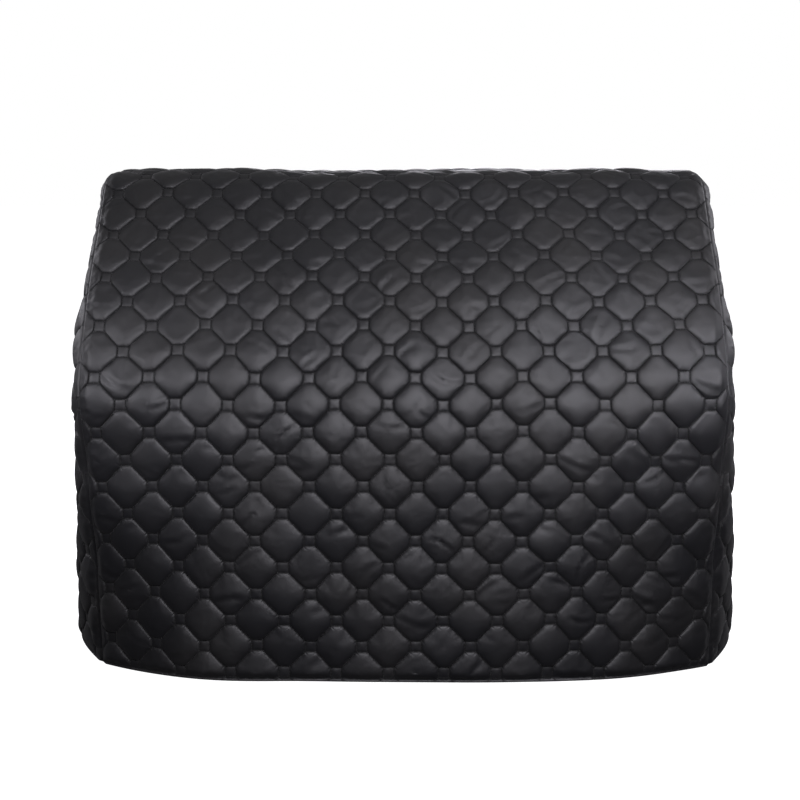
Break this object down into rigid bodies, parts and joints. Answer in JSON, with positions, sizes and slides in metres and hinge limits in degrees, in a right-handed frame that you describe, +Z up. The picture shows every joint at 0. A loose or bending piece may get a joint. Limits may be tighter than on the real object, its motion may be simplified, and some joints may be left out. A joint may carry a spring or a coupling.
{
  "type": "piano cover",
  "caption": "Fitted quilted cloth cover for an upright piano: hollow, open below, with a sloped front over the keyboard and flared lower corners.",
  "frame": {"origin": "under the middle of the cover's top, where the piano's lid carries it", "axes": "+X across the cover towards the player's right, +Y towards the wall behind the piano, +Z up"},
  "size_m": [1.7014, 0.67, 1.1988],
  "materials": {
    "quilted_cloth": "black satin quilted polyester"
  },
  "bodies": {
    "root": {"main_panel": "quilted_cloth", "side_left": "quilted_cloth", "side_right": "quilted_cloth"}
  },
  "joints": []
}
